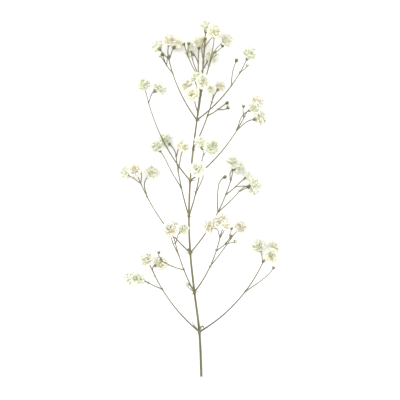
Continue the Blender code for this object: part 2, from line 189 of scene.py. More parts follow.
def curved(start, direction, aim, length, steps, face=None):
    # Leaves along direction, bends round to aim and turns its tip to face
    points = [start]
    firstTurn = steps - len(growth["tipTurns"])
    for step in range(steps):
        heading = direction.slerp(aim, (step + 0.5) / steps)
        if face and step >= firstTurn:
            heading = heading.slerp(face, growth["tipTurns"][step - firstTurn])
        points.append(points[-1] + heading * (length / steps))
    return points


def tipBall(shoot):
    # Centre and radius of the ball that holds the shoot's flower or bud
    tip, heading = shoot.points[-1], shoot.heading()
    if shoot.tip == "bloom":
        half = shoot.width / 2
        return tip + heading * (half * growth["bloomCentre"]), half
    back = growth["budLength"] * growth["budCentre"]
    return tip - heading * back, growth["budWidth"] * growth["budRoom"]


def samplesAlong(shoot, skip):
    total = shoot.length()
    count = max(2, int(total / growth["sampleStep"]) + 1)
    distances = [total * i / count for i in range(count + 1) if total * i / count >= skip]
    centres = [shoot.at(d)[0] for d in distances]
    radii = [shoot.radiusAt(d) for d in distances]
    return np.array(centres).reshape(-1, 3), np.array(radii)


def layOnTable(shoot):
    # Bends the shoot so that a flower that is under the table's top or just over it lies on it
    pressed = growth["bloomPressed"] if shoot.tip == "bloom" else 0.0
    last = len(shoot.points) - 1
    for _ in range(4):
        centre, ball = tipBall(shoot)
        below = ball - pressed - centre.z
        if below > -growth["sag"]:
            shoot.points = [p + up * (below * (i / last) ** 2) for i, p in enumerate(shoot.points)]


def fits(shoot, room):
    centre, ball = tipBall(shoot)
    lowest = min(p.z for p in shoot.points)
    if lowest < shoot.radius or shoot.points[-1].z < growth["calyxRadius"]:
        return False
    along, radii = samplesAlong(shoot, growth["rootFree"])
    if not room.free(along, radii):
        return False
    return room.free(np.array([centre]), np.array([ball]))


def takeRoom(shoot, room):
    centre, ball = tipBall(shoot)
    room.add(*samplesAlong(shoot, 0.0))
    room.add(np.array([centre]), np.array([ball]))


def smoothBetween(before, a, b, after, t):
    linear = (b - before) * t
    square = (2 * before - 5 * a + 4 * b - after) * t**2
    cube = (3 * a - before - 3 * b + after) * t**3
    return 0.5 * (2 * a + linear + square + cube)


def mainStalk():
    # A smooth curve through the stalk's nodes, rising from the table into the crown
    knots = []
    for x, y in [*growth["nodes"], growth["stalkTip"]]:
        share = min(1.0, y * mm / growth["liftedAt"])
        rise = share * share * (3.0 - 2.0 * share)
        height = growth["stalkRadius"] * growth["stalkSunk"] + growth["stalkLift"] * rise
        knots.append(Vector((x * mm, y * mm, height)))
    points = []
    perNode = growth["pointsPerNode"]
    for i, (a, b) in enumerate(zip(knots, knots[1:])):
        before = knots[max(0, i - 1)]
        after = knots[min(len(knots) - 1, i + 2)]
        for k in range(perNode):
            points.append(smoothBetween(before, a, b, after, k / perNode))
    points.append(knots[-1])
    stalk = Shoot(points, growth["stalkRadius"], growth["stalkTipRadius"], 0, "bloom")
    stalk.width = growth["bloomWidths"][0]
    for node in range(1, len(growth["nodes"])):
        reached = points[: node * perNode + 1]
        stalk.forks.append(sum((b - a).length for a, b in zip(reached, reached[1:])))
    return stalk


def tipWidth(tip, level, draw):
    if tip == "bud":
        return growth["budWidth"]
    opened = growth["bloomWidths"][level]
    width = growth["halfOpen"] if draw.random() < growth["halfOpenShare"] else opened
    return width + growth["bloomSpread"] * eitherWay(draw)


def sideShoot(parent, distance, turn, lean, length, radius, level, tip, draw):
    start, heading = parent.at(distance)
    leavesAt = leaning(heading, turn, lean)
    aim = leaning(heading, turn, lean * growth["straightening"])
    anywhere = Vector([eitherWay(draw) for _ in range(3)])
    face = (aim + anywhere * growth["faceTurn"] + up * growth["faceUp"]).normalized()
    steps = max(4, round(length / growth["bendStep"]))
    points = curved(start, leavesAt, aim, length, steps, face)
    shoot = Shoot(points, radius, growth["pedicelRadius"], level, tip)
    shoot.width = tipWidth(tip, level, draw)
    layOnTable(shoot)
    return shoot


def grownShoot(parent, distance, turn, lean, length, radius, level, tip, room, draw):
    # Draws shoots near the wanted one until one has room, and gives None if none has
    for attempt in range(growth["tries"]):
        loose = growth["looseness"] + attempt / growth["tries"]
        nearTurn = turn + growth["looseTurn"] * loose * eitherWay(draw)
        nearLean = lean + growth["looseLean"] * loose * eitherWay(draw)
        nearLength = length * (1.0 + growth["looseLength"] * loose * eitherWay(draw))
        shoot = sideShoot(parent, distance, nearTurn, nearLean, nearLength, radius, level, tip, draw)
        if fits(shoot, room):
            takeRoom(shoot, room)
            return shoot
    return None


def drawnTip(shares, shoots, draw):
    value = draw.random()
    blooms = sum(s.tip == "bloom" for s in shoots)
    if value < shares[0] and blooms < growth["mostBlooms"]:
        return "bloom"
    return "bud" if value < shares[0] + shares[1] else None


def growFork(parent, place, plane, length, radius, level, shares, shoots, room, draw):
    # Up to two side shoots opposite each other, at one place on the parent
    grown = []
    for side in (0, 1):
        tip = drawnTip(shares[side], shoots + grown, draw)
        turn = plane + 180.0 * side
        if tip:
            shoot = grownShoot(
                parent, place, turn, growth["forkLean"], length, radius, level, tip, room, draw
            )
            if shoot:
                grown.append(shoot)
    if grown:
        parent.forks.append(place)
    return grown


def growStem():
    # The whole stem as a list of shoots, the stalk first
    draw = random.Random(growth["seed"])
    room = Room()
    stalk = mainStalk()
    takeRoom(stalk, room)
    axes = [stalk]
    for node, turn, lean, length in growth["branches"]:
        branch = grownShoot(
            stalk, stalk.forks[node - 1], turn, lean, length * mm, growth["branchRadius"], 1,
            "bloom", room, draw,
        )
        if branch:
            branch.node = node
            axes.append(branch)
    node, turn, lean, length = growth["stuntedTwig"]
    twig = grownShoot(
        stalk, stalk.forks[node - 1], turn, lean, length * mm, growth["pedicelRadius"], 3, "bud",
        room, draw,
    )
    shoots = [*axes, twig] if twig else list(axes)

    byFork, byBranch, byShoot = growth["planeTurns"]
    longShoots = []
    for k, fromTip in enumerate(growth["branchForks"]):
        for index, branch in enumerate(axes):
            place = branch.length() - fromTip
            if place < growth["leastRoot"]:
                continue
            plane = growth["forkPlane"] + byFork * k + byBranch * index
            length = max(growth["leastShoot"], fromTip * growth["shootShare"])
            radius = growth["shootRadius"] if k else growth["pedicelRadius"]
            shares = growth["tipShares"][k]
            grown = growFork(branch, place, plane, length, radius, 2, shares, shoots, room, draw)
            shoots += grown
            longShoots += grown if k else []

    for index, shoot in enumerate(longShoots):
        place = shoot.length() - growth["shootFork"]
        if place > growth["leastRootShare"] * shoot.length():
            shoots += growFork(
                shoot, place, byShoot * index, growth["shootFork"], growth["pedicelRadius"], 3,
                growth["tipShares"][-1], shoots, room, draw,
            )
    return shoots


# Surfaces: a skin gathers points, faces and two values at each point before it becomes one piece.
# "way" runs with the surface: round a stalk or across and along a blade, with a number of its own.
# "tone" says how far each of the material's three other colours shows there.


class Skin:
    def __init__(self):
        self.points, self.ways, self.tones, self.faces = [], [], [], []
        self.count = 0

    def add(self, points, faces, ways, tones):
        points = np.asarray(points, float).reshape(-1, 3)
        self.points.append(points)
        self.ways.append(np.broadcast_to(np.asarray(ways, float), points.shape))
        self.tones.append(np.broadcast_to(np.asarray(tones, float), points.shape))
        self.faces += [tuple(i + self.count for i in face) for face in faces]
        self.count += len(points)

    def addGrid(self, points, ways, tones, faces):
        # Many surfaces of the same layout: points are (how many, points of one, 3)
        many, each = points.shape[:2]
        self.points.append(points.reshape(-1, 3))
        self.ways.append(np.broadcast_to(ways, points.shape).reshape(-1, 3))
        self.tones.append(np.broadcast_to(tones, points.shape).reshape(-1, 3))
        faces = np.asarray(faces)
        starts = self.count + each * np.arange(many)
        self.faces += (faces[None, :, :] + starts[:, None, None]).reshape(-1, 4).tolist()
        self.count += many * each

    def piece(self, name, finish, slot, *nodes):
        mesh = bpy.data.meshes.new(name)
        mesh.from_pydata(np.vstack(self.points).tolist(), [], self.faces)
        for key, values in (("way", self.ways), ("tone", self.tones)):
            layer = mesh.attributes.new(key, "FLOAT_VECTOR", "POINT")
            layer.data.foreach_set("vector", np.vstack(values).astype(np.float32).ravel())
        mesh.shade_smooth()
        mesh.set_sharp_from_angle(angle=creaseAngle)
        mesh.materials.append(finish)
        mesh.validate()
        obj = bpy.data.objects.new(name, mesh)
        bpy.context.scene.collection.objects.link(obj)
        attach(obj, "root")
        if nodes:
            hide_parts(*nodes)
        return obj


def onTable(points, softness):
    # Flattens what would go under the table's top, without folding it over
    low = points[..., 2]
    points[..., 2] = np.where(low < softness, softness * np.exp((low - softness) / softness), low)
    return points


def gridFaces(rows, columns, closedRound=False):
    # Quads of a grid of points, rows + 1 by columns + 1, or with the columns joined in a ring
    across = columns if closedRound else columns + 1
    faces = []
    for r in range(rows):
        for c in range(columns):
            n = (c + 1) % across
            faces.append((r * across + c, (r + 1) * across + c, (r + 1) * across + n, r * across + n))
    return faces


def anglesRound(sides):
    return 2.0 * np.pi * np.arange(sides) / sides


def roundAbout(angles, radius, z):
    # A ring of points round the z axis. radius and z hold one value, or one for each angle
    return np.stack(np.broadcast_arrays(radius * np.cos(angles), radius * np.sin(angles), z), -1)


def cappedFaces(count, sides):
    # A closed round form of so many rings, with its two end points after the rings
    faces = [tuple(reversed(face)) for face in gridFaces(count - 1, sides, closedRound=True)]
    first = count * sides
    last = first + 1
    for k in range(sides):
        n = (k + 1) % sides
        faces += [(first, n, k), (last, first - sides + k, first - sides + n)]
    return faces


def addRound(skin, rings, ends, basis, origin, ways, tones, softness):
    # A closed round form from its rings and end points, turned by basis and set at origin
    places = np.vstack([*rings, ends]) @ basis.T + origin
    skin.add(onTable(places, softness), cappedFaces(len(rings), len(rings[0])), ways, tones)


def shellFaces(rows, columns):
    # Two grids back to back, with a rim between them
    across = columns + 1
    under = (rows + 1) * across
    top = gridFaces(rows, columns)
    bottom = [tuple(under + i for i in reversed(face)) for face in top]
    rim = [r * across for r in range(rows)]
    rim += [rows * across + c for c in range(columns)]
    rim += [r * across + columns for r in range(rows, 0, -1)]
    rim += list(range(columns, 0, -1))
    sides = [(b, a, a + under, b + under) for a, b in zip(rim, rim[1:] + rim[:1])]
    return top + bottom + sides


def shellPoints(grid, thickness):
    # The two faces of a thin blade from its middle surface: grid is (how many, rows, columns, 3)
    along = np.gradient(grid, axis=1)
    across = np.gradient(grid, axis=2)
    normal = np.cross(along, across)
    normal /= np.maximum(np.linalg.norm(normal, axis=-1, keepdims=True), 1e-12)
    thin = np.ones(grid.shape[1:3])
    thin[:, [0, -1]] = thinRim
    thin[-1, :] = thinRim
    offset = normal * (thickness / 2) * thin[None, :, :, None]
    many = len(grid)
    return np.concatenate([(grid + offset).reshape(many, -1, 3), (grid - offset).reshape(many, -1, 3)], 1)


def blades(shape, u, v):
    # Middle surfaces of many blades. u and v are the places of the points along and across one.
    # shape holds one value for each blade, or one for all: out, across, over and root place it,
    # rise and bend are its angle and its curl along its length
    def each(key):
        values = np.asarray(shape[key], float)
        return values.reshape(-1, 1, 1) if values.ndim else values

    u = np.asarray(u, float)[None, :, None]
    v = np.asarray(v, float)[None, None, :]
    many = len(shape["root"])
    outline = 1.0 - each("roundTip") * np.abs(v) ** 2.4 * u**2
    outline = outline - each("notch") * np.exp(-((v / 0.3) ** 2)) * u**2
    outline = outline + np.asarray(shape["fray"]).reshape(many, 1, v.size) * u**2
    s = u * outline
    rise, bend, length = each("rise"), each("bend"), each("length")
    bend = np.where(np.abs(bend) < 1e-3, 1e-3, bend)
    turned = rise + bend * s
    ahead = length * (np.sin(turned) - np.sin(rise)) / bend
    higher = length * (np.cos(rise) - np.cos(turned)) / bend
    share = np.interp(u, *np.transpose(shape["widths"]))
    half = each("halfWidth") * share
    y = v * half / np.sqrt(1.0 + each("fold") ** 2)
    ripple = np.sin(each("wavePhase") + each("waves") * v + 3.2 * u) * u**1.5
    n = half * (each("cup") * (v**2 - 0.35) + each("fold") * (np.abs(v) - 0.5)) + each("wave") * ripple
    twist = each("twist") * u
    side = y * np.cos(twist) - n * np.sin(twist)
    lift = y * np.sin(twist) + n * np.cos(twist)
    x = ahead - np.sin(turned) * lift
    z = higher + np.cos(turned) * lift
    places = np.asarray(shape["root"], float)[:, None, None, :]
    for key, amount in (("out", x), ("across", side), ("over", z)):
        places = places + amount[..., None] * np.asarray(shape[key], float)[:, None, None, :]
    return places


def bladeWays(many, u, v, numbers):
    # across, along and number of each point on both faces of many blades
    along, across = np.meshgrid(u, v, indexing="ij")
    one = np.stack([across, along], -1).reshape(-1, 2)
    one = np.concatenate([one, one])
    ways = np.zeros((many, len(one), 3))
    ways[:, :, :2] = one[None]
    ways[:, :, 2] = np.asarray(numbers).reshape(-1, 1)
    return ways


def ringFrames(points):
    # A pair of directions square to the path at each point, carried along without twisting
    headings = np.gradient(points, axis=0)
    headings /= np.linalg.norm(headings, axis=1, keepdims=True)
    across = np.cross(headings[0], (0.0, 0.0, 1.0))
    if np.linalg.norm(across) < 1e-6:
        across = np.cross(headings[0], (1.0, 0.0, 0.0))
    frames = []
    for heading in headings:
        across = across - heading * across.dot(heading)
        across = across / np.linalg.norm(across)
        frames.append((across, np.cross(heading, across)))
    return frames


def addTube(skin, points, radii, sides, distances, tones, ridge=None, cut=None):
    # A closed round tube with one row of tones for each ring. ridge(angles, distance) grooves it,
    # and cut gives its first end a slanted, torn cut face, in rings from the middle out
    angles = anglesRound(sides)
    rings, ways = [], []
    for i, (centre, (across, over)) in enumerate(zip(points, ringFrames(points))):
        radius = radii[i] * (1.0 + (ridge(angles, distances[i]) if ridge else 0.0))
        radius = np.broadcast_to(radius, angles.shape)[:, None]
        rings.append(centre + radius * (np.cos(angles)[:, None] * across + np.sin(angles)[:, None] * over))
        ways.append(roundAbout(angles, 1.0, distances[i] / wayStep))
    rootPoint = points[0]
    if cut:
        inward = (points[1] - points[0]) / np.linalg.norm(points[1] - points[0])
        slant = cut["slant"] * (rings[0] - points[0])[:, 2:]
        rings[0] = rings[0] + slant * inward
        faceRings, faceWays = [], []
        for k, (share, depth) in enumerate(cut["rings"]):
            torn = depth + cut["torn"] * np.cos(cut["fibres"] * angles + 2.1 * k)
            faceRings.append(points[0] + share * (rings[0] - points[0]) + torn[:, None] * inward)
            faceWays.append(ways[0] * (share, share, 1.0) + (0.0, 0.0, 3.0 + k))
        rings, ways = faceRings + rings, faceWays + ways
        tones = np.vstack([cut["tones"], tones])
        rootPoint = points[0] + cut["rings"][0][1] * inward
    rows = np.vstack([*rings, [rootPoint], points[-1:]])
    allWays = np.vstack([*ways, ways[0][:1] * (0, 0, 1), ways[-1][:1] * (0, 0, 1)])
    allTones = np.vstack([np.repeat(tones, sides, axis=0), tones[:1], tones[-1:]])
    skin.add(onTable(rows, tubeSoftness), cappedFaces(len(rings), sides), allWays, allTones)


# Nodes of the materials


def feed(tree, socket, source):
    # Links another node's output, or sets a number or colour
    if isinstance(source, bpy.types.NodeSocket):
        tree.links.new(source, socket)
    else:
        socket.default_value = source


def mixed(tree, share, first, second):
    node = tree.nodes.new("ShaderNodeMix")
    node.data_type = "RGBA"
    feed(tree, node.inputs[0], share)
    feed(tree, node.inputs[6], first)
    feed(tree, node.inputs[7], second)
    return node.outputs[2]


def worked(tree, operation, first, second=0.0, clamp=False):
    # The result of one sum
    node = tree.nodes.new("ShaderNodeMath")
    node.operation = operation
    node.use_clamp = clamp
    feed(tree, node.inputs[0], first)
    feed(tree, node.inputs[1], second)
    return node.outputs[0]


def between(tree, value, low, high, newLow=0.0, newHigh=1.0):
    # Smooth step from one range to another
    node = tree.nodes.new("ShaderNodeMapRange")
    node.interpolation_type = "SMOOTHSTEP"
    for key, amount in (("Value", value), ("From Min", low), ("From Max", high),
                        ("To Min", newLow), ("To Max", newHigh)):
        feed(tree, node.inputs[key], amount)
    return node.outputs[0]


def noisy(tree, vector, scale, detail=2.0, roughness=0.5):
    node = tree.nodes.new("ShaderNodeTexNoise")
    feed(tree, node.inputs["Vector"], vector)
    feed(tree, node.inputs["Scale"], scale)
    node.inputs["Detail"].default_value = detail
    node.inputs["Roughness"].default_value = roughness
    return node.outputs["Fac"]


def valueAt(tree, name):
    # One of the two values that each skin carries, as three outputs
    node = tree.nodes.new("ShaderNodeAttribute")
    node.attribute_name = name
    parts = tree.nodes.new("ShaderNodeSeparateXYZ")
    tree.links.new(node.outputs["Vector"], parts.inputs[0])
    return node.outputs["Vector"], parts.outputs


def newGroup(name, inputs, outputs):
    tree = bpy.data.node_groups.new(name, "ShaderNodeTree")
    for key, kind, value in inputs:
        socket = tree.interface.new_socket(name=key, in_out="INPUT", socket_type="NodeSocket" + kind)
        if value is not None:
            socket.default_value = value
    for key, kind in outputs:
        tree.interface.new_socket(name=key, in_out="OUTPUT", socket_type="NodeSocket" + kind)
    return tree, tree.nodes.new("NodeGroupInput").outputs, tree.nodes.new("NodeGroupOutput").inputs


def placed(tree, group, **values):
    # The group in a material, its inputs named as in the group but without spaces
    node = tree.nodes.new("ShaderNodeGroup")
    node.node_tree = group
    for socket in node.inputs:
        key = socket.name.replace(" ", "")
        if key in values:
            feed(tree, socket, values[key])
    return node.outputs


def paint(red, green, blue):
    # A colour as it is read off a paint chart (0 to 255), for Blender's linear sockets
    def linear(value):
        value /= 255.0
        return value / 12.92 if value <= 0.04045 else ((value + 0.055) / 1.055) ** 2.4

    return (linear(red), linear(green), linear(blue), 1.0)


def newMaterial(name, roughness):
    material = bpy.data.materials.new(name)
    material.use_nodes = True
    shader = material.node_tree.nodes["Principled BSDF"]
    shader.inputs["Roughness"].default_value = roughness
    return material, material.node_tree, shader


def fibreGroup():
    # Fine streaks that run along a stalk, a petal or a leaf
    tree, given, made = newGroup(
        "lengthwiseFibres",
        [("Way", "Vector", None), ("Across", "Float", 6.0), ("Along", "Float", 1.0),
         ("Contrast", "Float", 1.0)],
        [("Streak", "Float"), ("Relief", "Float")],
    )
    stretch = tree.nodes.new("ShaderNodeCombineXYZ")
    for key, source in (("X", given["Across"]), ("Y", given["Across"]), ("Z", given["Along"])):
        tree.links.new(source, stretch.inputs[key])
    scaled = tree.nodes.new("ShaderNodeVectorMath")
    scaled.operation = "MULTIPLY"
    tree.links.new(given["Way"], scaled.inputs[0])
    tree.links.new(stretch.outputs[0], scaled.inputs[1])
    grain = noisy(tree, scaled.outputs[0], 1.0, 3.0, 0.6)
    centred = worked(tree, "SUBTRACT", grain, 0.5)
    streak = worked(tree, "MULTIPLY", centred, given["Contrast"])
    tree.links.new(worked(tree, "ADD", streak, 0.5, clamp=True), made["Streak"])
    tree.links.new(grain, made["Relief"])
    return tree


def patchGroup():
    # Uneven drying: a second colour comes through in soft patches
    tree, given, made = newGroup(
        "driedPatches",
        [("Colour", "Color", None), ("Dried", "Color", None), ("Amount", "Float", 0.5),
         ("Size mm", "Float", 4.0)],
        [("Colour", "Color"), ("Patch", "Float")],
    )
    place = tree.nodes.new("ShaderNodeTexCoord").outputs["Object"]
    scale = worked(tree, "DIVIDE", 1.0 / mm, given["Size mm"])
    cloud = noisy(tree, place, scale, 2.5, 0.55)
    start = worked(tree, "SUBTRACT", 0.72, worked(tree, "MULTIPLY", given["Amount"], 0.45))
    stop = worked(tree, "ADD", start, 0.2)
    patch = between(tree, cloud, start, stop)
    tree.links.new(patch, made["Patch"])
    tree.links.new(mixed(tree, patch, given["Colour"], given["Dried"]), made["Colour"])
    return tree


def grainGroup():
    # Fine unevenness in place, for dull dry skins and for the table's paper
    tree, given, made = newGroup(
        "fineGrain",
        [("Colour", "Color", None), ("Speck", "Color", None), ("Share", "Float", 0.2),
         ("Size mm", "Float", 0.3)],
        [("Colour", "Color"), ("Relief", "Float")],
    )
    place = tree.nodes.new("ShaderNodeTexCoord").outputs["Object"]
    scale = worked(tree, "DIVIDE", 1.0 / mm, given["Size mm"])
    grain = noisy(tree, place, scale, 3.0, 0.65)
    speck = worked(tree, "MULTIPLY", between(tree, grain, 0.5, 0.75), given["Share"])
    tree.links.new(grain, made["Relief"])
    tree.links.new(mixed(tree, speck, given["Colour"], given["Speck"]), made["Colour"])
    return tree


def bumped(tree, shader, height, depth, strength):
    # Relief on the shader's normal, depth in metres
    bump = tree.nodes.new("ShaderNodeBump")
    bump.inputs["Distance"].default_value = depth
    bump.inputs["Strength"].default_value = strength
    tree.links.new(height, bump.inputs["Height"])
    tree.links.new(bump.outputs[0], shader.inputs["Normal"])


fibres, patches, grains = fibreGroup(), patchGroup(), grainGroup()

shoots = growStem()
stalk = shoots[0]
blooms = [s for s in shoots if s.tip == "bloom"]
buds = [s for s in shoots if s.tip == "bud"]
print(f"grown again: {len(shoots)} shoots, {len(blooms)} flowers, {len(buds)} buds")


# Stalk, branches and pedicels

stalkLook = {
    "sides": (40, 16, 10, 10),
    "ringStep": (1.1 * mm, 1.2 * mm, 1.0 * mm, 0.9 * mm),
    "ringsAtFork": (-1.5, -1.0, -0.6, -0.3, 0.0, 0.3, 0.6, 1.0, 1.5),  # in half lengths of the node
    "ringsAtRoot": (9, 0.35 * mm),
    "leastStep": 0.12 * mm,
    "hiddenTip": {"bloom": 1.5 * mm, "bud": 2.6 * mm},  # length of the tip inside a calyx or bud
    "nodeSwelling": (0.42, 0.32, 0.26, 0.0),
    "nodeHalfLength": (1.0 * mm, 0.8 * mm, 0.6 * mm, 0.5 * mm),
    "collar": 0.30,
    "collarLength": 1.4 * mm,
    "ridges": ((3, 0.015, 0.4), (5, 0.026, 0.0), (8, 0.022, 1.3), (13, 0.010, 2.1)),  # count, depth, turn
    "olive": paint(103, 106, 71),
    "oliveDark": paint(61, 63, 45),
    "tan": paint(130, 120, 83),
    "brown": paint(56, 48, 37),
    "pale": paint(148, 144, 117),
    "greenBelow": 50.0 * mm,
    "tanFrom": 150.0 * mm,  # shoots that leave this high or higher have dried tan
    "tanMore": 0.4,
    "brownBranch": 1,
    # how brown, dark and pale the stalk is round a fork: amount, place from the fork, reach
    "forkTones": ((0.35, 0.0, 1.6 * mm), (0.35, -0.9 * mm, 0.7 * mm), (0.55, 1.1 * mm, 0.6 * mm)),
    "darkRoot": (0.4, 1.6 * mm),
    "cut": {
        "slant": 0.30,
        "rings": ((0.16, 0.26 * mm), (0.40, 0.20 * mm), (0.52, 0.03 * mm), (0.72, 0.0), (0.90, -0.02 * mm)),
        "tones": ((0.7, 0.9, 0.0), (0.6, 0.6, 0.1), (0.4, 0.0, 0.8), (0.4, 0.0, 1.0), (0.3, 0.1, 0.7)),
        "torn": 0.025 * mm,
        "fibres": 9,
    },
}


def ringPlaces(shoot):
    # Distances of the rings: even steps, with closer ones at the forks and at the root
    level = shoot.level
    end = shoot.length() - stalkLook["hiddenTip"][shoot.tip]
    step = stalkLook["ringStep"][level]
    places = set(np.linspace(0.0, end, max(3, round(end / step)) + 1))
    half = stalkLook["nodeHalfLength"][level]
    for fork in shoot.forks:
        places |= {fork + half * k for k in stalkLook["ringsAtFork"]}
    if level:
        many, rootStep = stalkLook["ringsAtRoot"]
        places |= {rootStep * k for k in range(many)}
    places = sorted(p for p in places if 0.0 <= p <= end)
    kept = [places[0]]
    for place in places[1:]:
        if place - kept[-1] > stalkLook["leastStep"]:
            kept.append(place)
    return np.array(kept)


def stalkTones(shoot, places, number, draw):
    # How brown, dark and pale each ring is
    look = stalkLook
    high = min(1.0, shoot.points[0].y / look["tanFrom"])
    brown = np.full(len(places), draw.uniform(0.05, 0.55) + look["tanMore"] * high)
    dark = np.full(len(places), draw.uniform(0.0, 0.3))
    pale = np.zeros(len(places))
    if shoot.level == 0:
        reached = np.clip((places - look["greenBelow"]) / (10.0 * mm), 0.0, 1.0)
        brown = 0.08 + 0.55 * reached - 0.15 * np.sin(places / (23.0 * mm)) * reached
        dark = 0.1 + 0.1 * np.sin(places / (9.0 * mm))
        pale[0] = 0.6
    elif number == look["brownBranch"]:
        brown[:] = 0.8
        dark[:] = 0.95 - 0.5 * places / places[-1]
    tones = np.stack([brown, dark, pale])
    for fork in shoot.forks:
        for tone, (amount, offset, reach) in zip(tones, look["forkTones"]):
            tone += amount * np.exp(-(((places - fork - offset) / reach) ** 2))
    if shoot.level:
        amount, reach = look["darkRoot"]
        tones[1] += amount * np.exp(-places / reach)
    return np.clip(tones.T, 0.0, 1.0)


def ridgesAt(angles, distance):
    # How far the stalk's surface stands out, as a share of its radius; the ridges wind a little
    total = np.zeros_like(angles)
    for count, depth, phase in stalkLook["ridges"]:
        total += depth * np.cos(count * angles + phase + 0.8 * math.sin(distance / (17.0 * mm) + phase))
    return total


def dressStalk(finish):
    skin = Skin()
    draw = random.Random(growth["seed"] + 11)
    for number, shoot in enumerate(shoots):
        places = ringPlaces(shoot)
        points = np.array([shoot.smoothAt(d) + growth["cutEnd"] for d in places])
        radii = np.array([shoot.radiusAt(d) for d in places])
        half = stalkLook["nodeHalfLength"][shoot.level]
        for fork in shoot.forks:
            swollen = np.exp(-(((places - fork) / half) ** 2))
            radii = radii * (1.0 + stalkLook["nodeSwelling"][shoot.level] * swollen)
        if shoot.level:
            radii = radii * (1.0 + stalkLook["collar"] * np.exp(-places / stalkLook["collarLength"]))
        tones = stalkTones(shoot, places, number, draw)
        ridge = ridgesAt if shoot.level < 2 else None
        cut = None if number else stalkLook["cut"]
        addTube(skin, points, radii, stalkLook["sides"][shoot.level], places, tones, ridge, cut)
    return skin.piece("stalk_and_branches", finish, "dried_stalk", "stalk")


def stalkMaterial():
    look = stalkLook
    material, tree, shader = newMaterial("driedStalk", 0.62)
    way, _ = valueAt(tree, "way")
    _, tone = valueAt(tree, "tone")
    streak = placed(tree, fibres, Way=way, Across=3.4, Along=0.9, Contrast=1.7)
    patch = placed(tree, patches, Colour=look["olive"], Dried=look["tan"], Amount=tone["X"], Sizemm=3.5)
    toned = mixed(tree, worked(tree, "MULTIPLY", tone["X"], 0.62), patch["Colour"], look["tan"])
    shaded = mixed(tree, between(tree, streak["Streak"], 0.62, 0.25, 0.0, 0.55), toned, look["oliveDark"])
    darkened = mixed(tree, tone["Y"], shaded, look["brown"])
    colour = mixed(tree, tone["Z"], darkened, look["pale"])
    dotted = placed(tree, grains, Colour=colour, Speck=look["brown"], Share=0.5, Sizemm=0.22)
    tree.links.new(dotted["Colour"], shader.inputs["Base Color"])
    tree.links.new(between(tree, streak["Streak"], 0.2, 0.8, 0.72, 0.5), shader.inputs["Roughness"])
    relief = worked(tree, "ADD", streak["Relief"], worked(tree, "MULTIPLY", dotted["Relief"], 0.4))
    bumped(tree, shader, relief, 0.06 * mm, 0.6)
    return material


stalkPiece = dressStalk(stalkMaterial())
print("stalk, branches and pedicels skinned:", len(stalkPiece.data.polygons), "faces")


# Calyxes under the flowers, and closed buds

calyxLook = {
    "length": 1.9 * mm,
    "radius": 1.12 * mm,
    "teeth": 5,
    "sides": 30,
    "toothLength": 0.55 * mm,
    "toothRound": 0.8,
    "thickness": 0.10 * mm,
    "depth": 0.9 * mm,
    "outerRings": 8,
    "innerRings": (1.0, 0.85, 0.7, 0.55),
    "ribs": 0.03,
    "fullHalf": 4.4 * mm,  # a flower of this half width or more has a calyx of full size
    "softness": 0.15 * mm,
    "profile": ((0.0, 0.27), (0.18, 0.52), (0.4, 0.80), (0.65, 0.95), (0.85, 0.98), (1.0, 1.0)),
    "green": paint(92, 97, 64),
    "brown": paint(73, 63, 42),
    "margin": paint(178, 176, 146),
}

budLook = {
    "sides": 30,
    "rings": 18,
    "profile": ((0.0, 0.13), (0.06, 0.30), (0.14, 0.52), (0.24, 0.74), (0.36, 0.91), (0.5, 1.0),
                (0.62, 0.98), (0.74, 0.86), (0.84, 0.66), (0.92, 0.44), (1.0, 0.14)),
    "sepals": 5,
    "gap": 0.66,  # how far up the gaps between the sepals end, and how much further the points do
    "point": 0.20,
    "rib": 0.05,
    "groove": 0.10,
    "step": 0.12,
    "petalFolds": 0.07,
    "seam": 0.16,
    "softness": 0.15 * mm,
    "green": paint(86, 92, 56),
    "tip": paint(214, 214, 184),
}


def axisFrame(shoot):
    # Turns z to the shoot's heading
    return np.array(shoot.heading().to_track_quat("Z", "Y").to_matrix())


def tipOf(shoot):
    return np.array(shoot.points[-1] + growth["cutEnd"])


def fromGap(angles, count):
    # 1 at the middle of each tooth or sepal, 0 in the gap between two
    return 1.0 - np.abs(((angles * count / (2.0 * np.pi)) % 1.0) * 2.0 - 1.0)


def dressCalyxes(finish):
    look = calyxLook
    skin = Skin()
    draw = random.Random(growth["seed"] + 12)
    sides = look["sides"]
    angles = anglesRound(sides)
    tooth = fromGap(angles, look["teeth"])
    gap = 1.0 - tooth**1.5
    outer = [(u, 0.0) for u in np.linspace(0.0, 1.0, look["outerRings"])]
    inner = [(u, look["thickness"]) for u in look["innerRings"]]
    ends = [(0, 0, -look["length"]), (0, 0, -look["depth"])]
    for shoot in blooms:
        size = min(1.0, shoot.width / 2 / look["fullHalf"])
        turn = draw.random() * 2.0 * np.pi
        spread = draw.uniform(0.05, 0.3)
        height = look["length"] + look["toothLength"] * tooth ** look["toothRound"] * draw.uniform(0.8, 1.2)
        rings, ways, tones = [], [], []
        for u, inset in outer + inner:
            z = u * height - look["length"]
            risen = np.clip((z + look["length"]) / look["length"], 0, 1)
            share = np.interp(risen, *np.transpose(look["profile"]))
            radius = look["radius"] * size * share * (1.0 + look["ribs"] * np.cos(look["teeth"] * angles * 2))
            radius = radius + np.clip(z, 0.0, None) * spread - inset
            rings.append(roundAbout(angles + turn, radius, z))
            ways.append(roundAbout(angles, 1.0, u * 0.2))
            pale = np.clip(gap * np.clip(u * 1.5 - 0.25, 0, 1) * 0.9, 0, 1)
            tones.append(np.stack(np.broadcast_arrays(draw.random() * 0.3, 1 - u, pale), -1))
        ways = np.vstack([*ways, [(0, 0, 0), (0, 0, 0.2)]])
        tones = np.vstack([*tones, [(0, 1, 0), (0, 1, 0)]])
        addRound(skin, rings, ends, axisFrame(shoot), tipOf(shoot), ways, tones, look["softness"])
    return skin.piece("calyxes", finish, "dried_stalk", "stalk")


